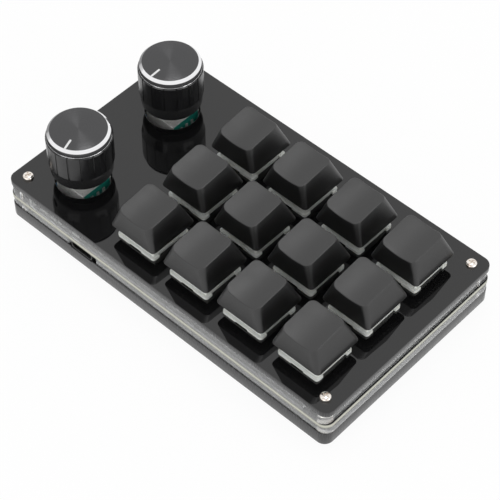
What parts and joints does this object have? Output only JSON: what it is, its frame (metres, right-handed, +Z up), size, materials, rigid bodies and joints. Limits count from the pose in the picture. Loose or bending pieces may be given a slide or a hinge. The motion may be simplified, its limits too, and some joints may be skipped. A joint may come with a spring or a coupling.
{
  "type": "macro keypad",
  "caption": "Desk macro keypad with a layered acrylic case, mechanical keys with sculpted caps, push-and-turn knobs and a USB-C inlet.",
  "frame": {"origin": "on the table under the middle of the case", "axes": "+X along the case's long side, away from the knobs; the inlet is on the -Y side; +Z up"},
  "size_m": [0.1328, 0.0758, 0.0391],
  "materials": {
    "black_acrylic": "glossy cast black acrylic, laser cut",
    "clear_acrylic": "clear cast acrylic, laser cut edges",
    "board_laminate": "glass-fibre laminate, black solder mask, cream cut edge",
    "screw_steel": "bright plated steel",
    "foot_rubber": "soft black rubber",
    "port_steel": "stamped stainless steel",
    "port_black": "black moulded plastic",
    "switch_white": "white moulded nylon",
    "contact_brass": "plated copper alloy",
    "stem_plastic": "milky grey moulded acetal",
    "spring_steel": "steel wire",
    "cap_plastic": "fine-textured black moulded plastic",
    "encoder_teal": "teal moulded plastic",
    "rotor_plastic": "white moulded plastic",
    "encoder_steel": "plated sheet steel",
    "knob_black": "black anodised aluminium, spun face, bright cut rim"
  },
  "bodies": {
    "case": {"top_plate": "black_acrylic", "bottom_plate": "black_acrylic", "upper_spacer": "clear_acrylic", "lower_spacer": "clear_acrylic", "circuit_board": "board_laminate", "corner_screws": "screw_steel", "corner_nuts": "screw_steel", "rubber_feet": "foot_rubber", "usb_shell": "port_steel", "usb_tongue": "port_black", "board_electronics": "port_black", "switch_lower_housings": "switch_white", "switch_upper_housings": "switch_white", "switch_contacts": "contact_brass", "key_spring_01": "spring_steel", "key_spring_02": "spring_steel", "key_spring_03": "spring_steel", "key_spring_04": "spring_steel", "key_spring_05": "spring_steel", "key_spring_06": "spring_steel", "key_spring_07": "spring_steel", "key_spring_08": "spring_steel", "key_spring_09": "spring_steel", "key_spring_10": "spring_steel", "key_spring_11": "spring_steel", "key_spring_12": "spring_steel", "encoder_bases": "encoder_teal", "encoder_brackets": "encoder_steel"},
    "key_01": {"keycap_01": "cap_plastic", "key_stem_01": "stem_plastic"},
    "key_02": {"keycap_02": "cap_plastic", "key_stem_02": "stem_plastic"},
    "key_03": {"keycap_03": "cap_plastic", "key_stem_03": "stem_plastic"},
    "key_04": {"keycap_04": "cap_plastic", "key_stem_04": "stem_plastic"},
    "key_05": {"keycap_05": "cap_plastic", "key_stem_05": "stem_plastic"},
    "key_06": {"keycap_06": "cap_plastic", "key_stem_06": "stem_plastic"},
    "key_07": {"keycap_07": "cap_plastic", "key_stem_07": "stem_plastic"},
    "key_08": {"keycap_08": "cap_plastic", "key_stem_08": "stem_plastic"},
    "key_09": {"keycap_09": "cap_plastic", "key_stem_09": "stem_plastic"},
    "key_10": {"keycap_10": "cap_plastic", "key_stem_10": "stem_plastic"},
    "key_11": {"keycap_11": "cap_plastic", "key_stem_11": "stem_plastic"},
    "key_12": {"keycap_12": "cap_plastic", "key_stem_12": "stem_plastic"},
    "rotor_near": {"encoder_rotor_near": "rotor_plastic"},
    "knob_near": {"knob_near": "knob_black", "encoder_shaft_near": "encoder_steel", "knob_set_screw_near": "encoder_steel"},
    "rotor_far": {"encoder_rotor_far": "rotor_plastic"},
    "knob_far": {"knob_far": "knob_black", "encoder_shaft_far": "encoder_steel", "knob_set_screw_far": "encoder_steel"}
  },
  "joints": [
    {"name": "key_press_01", "type": "slide", "parent": "case", "child": "key_01", "axis": [0, 0, -1], "range_m": [0, 0.004], "stiffness_N_per_m": 90, "springref_m": -0.0035, "deforming": ["key_spring_01"]},
    {"name": "key_press_02", "type": "slide", "parent": "case", "child": "key_02", "axis": [0, 0, -1], "range_m": [0, 0.004], "stiffness_N_per_m": 90, "springref_m": -0.0035, "deforming": ["key_spring_02"]},
    {"name": "key_press_03", "type": "slide", "parent": "case", "child": "key_03", "axis": [0, 0, -1], "range_m": [0, 0.004], "stiffness_N_per_m": 90, "springref_m": -0.0035, "deforming": ["key_spring_03"]},
    {"name": "key_press_04", "type": "slide", "parent": "case", "child": "key_04", "axis": [0, 0, -1], "range_m": [0, 0.004], "stiffness_N_per_m": 90, "springref_m": -0.0035, "deforming": ["key_spring_04"]},
    {"name": "key_press_05", "type": "slide", "parent": "case", "child": "key_05", "axis": [0, 0, -1], "range_m": [0, 0.004], "stiffness_N_per_m": 90, "springref_m": -0.0035, "deforming": ["key_spring_05"]},
    {"name": "key_press_06", "type": "slide", "parent": "case", "child": "key_06", "axis": [0, 0, -1], "range_m": [0, 0.004], "stiffness_N_per_m": 90, "springref_m": -0.0035, "deforming": ["key_spring_06"]},
    {"name": "key_press_07", "type": "slide", "parent": "case", "child": "key_07", "axis": [0, 0, -1], "range_m": [0, 0.004], "stiffness_N_per_m": 90, "springref_m": -0.0035, "deforming": ["key_spring_07"]},
    {"name": "key_press_08", "type": "slide", "parent": "case", "child": "key_08", "axis": [0, 0, -1], "range_m": [0, 0.004], "stiffness_N_per_m": 90, "springref_m": -0.0035, "deforming": ["key_spring_08"]},
    {"name": "key_press_09", "type": "slide", "parent": "case", "child": "key_09", "axis": [0, 0, -1], "range_m": [0, 0.004], "stiffness_N_per_m": 90, "springref_m": -0.0035, "deforming": ["key_spring_09"]},
    {"name": "key_press_10", "type": "slide", "parent": "case", "child": "key_10", "axis": [0, 0, -1], "range_m": [0, 0.004], "stiffness_N_per_m": 90, "springref_m": -0.0035, "deforming": ["key_spring_10"]},
    {"name": "key_press_11", "type": "slide", "parent": "case", "child": "key_11", "axis": [0, 0, -1], "range_m": [0, 0.004], "stiffness_N_per_m": 90, "springref_m": -0.0035, "deforming": ["key_spring_11"]},
    {"name": "key_press_12", "type": "slide", "parent": "case", "child": "key_12", "axis": [0, 0, -1], "range_m": [0, 0.004], "stiffness_N_per_m": 90, "springref_m": -0.0035, "deforming": ["key_spring_12"]},
    {"name": "knob_turn_near", "type": "hinge", "parent": "case", "child": "rotor_near", "pos_m": [-0.049, -0.02145, 0.0172], "axis": [0, 0, 1], "continuous": true},
    {"name": "knob_push_near", "type": "slide", "parent": "rotor_near", "child": "knob_near", "axis": [0, 0, -1], "range_m": [0, 0.0005], "stiffness_N_per_m": 4000, "springref_m": -0.0005},
    {"name": "knob_turn_far", "type": "hinge", "parent": "case", "child": "rotor_far", "pos_m": [-0.049, 0.01825, 0.0172], "axis": [0, 0, 1], "continuous": true},
    {"name": "knob_push_far", "type": "slide", "parent": "rotor_far", "child": "knob_far", "axis": [0, 0, -1], "range_m": [0, 0.0005], "stiffness_N_per_m": 4000, "springref_m": -0.0005}
  ]
}
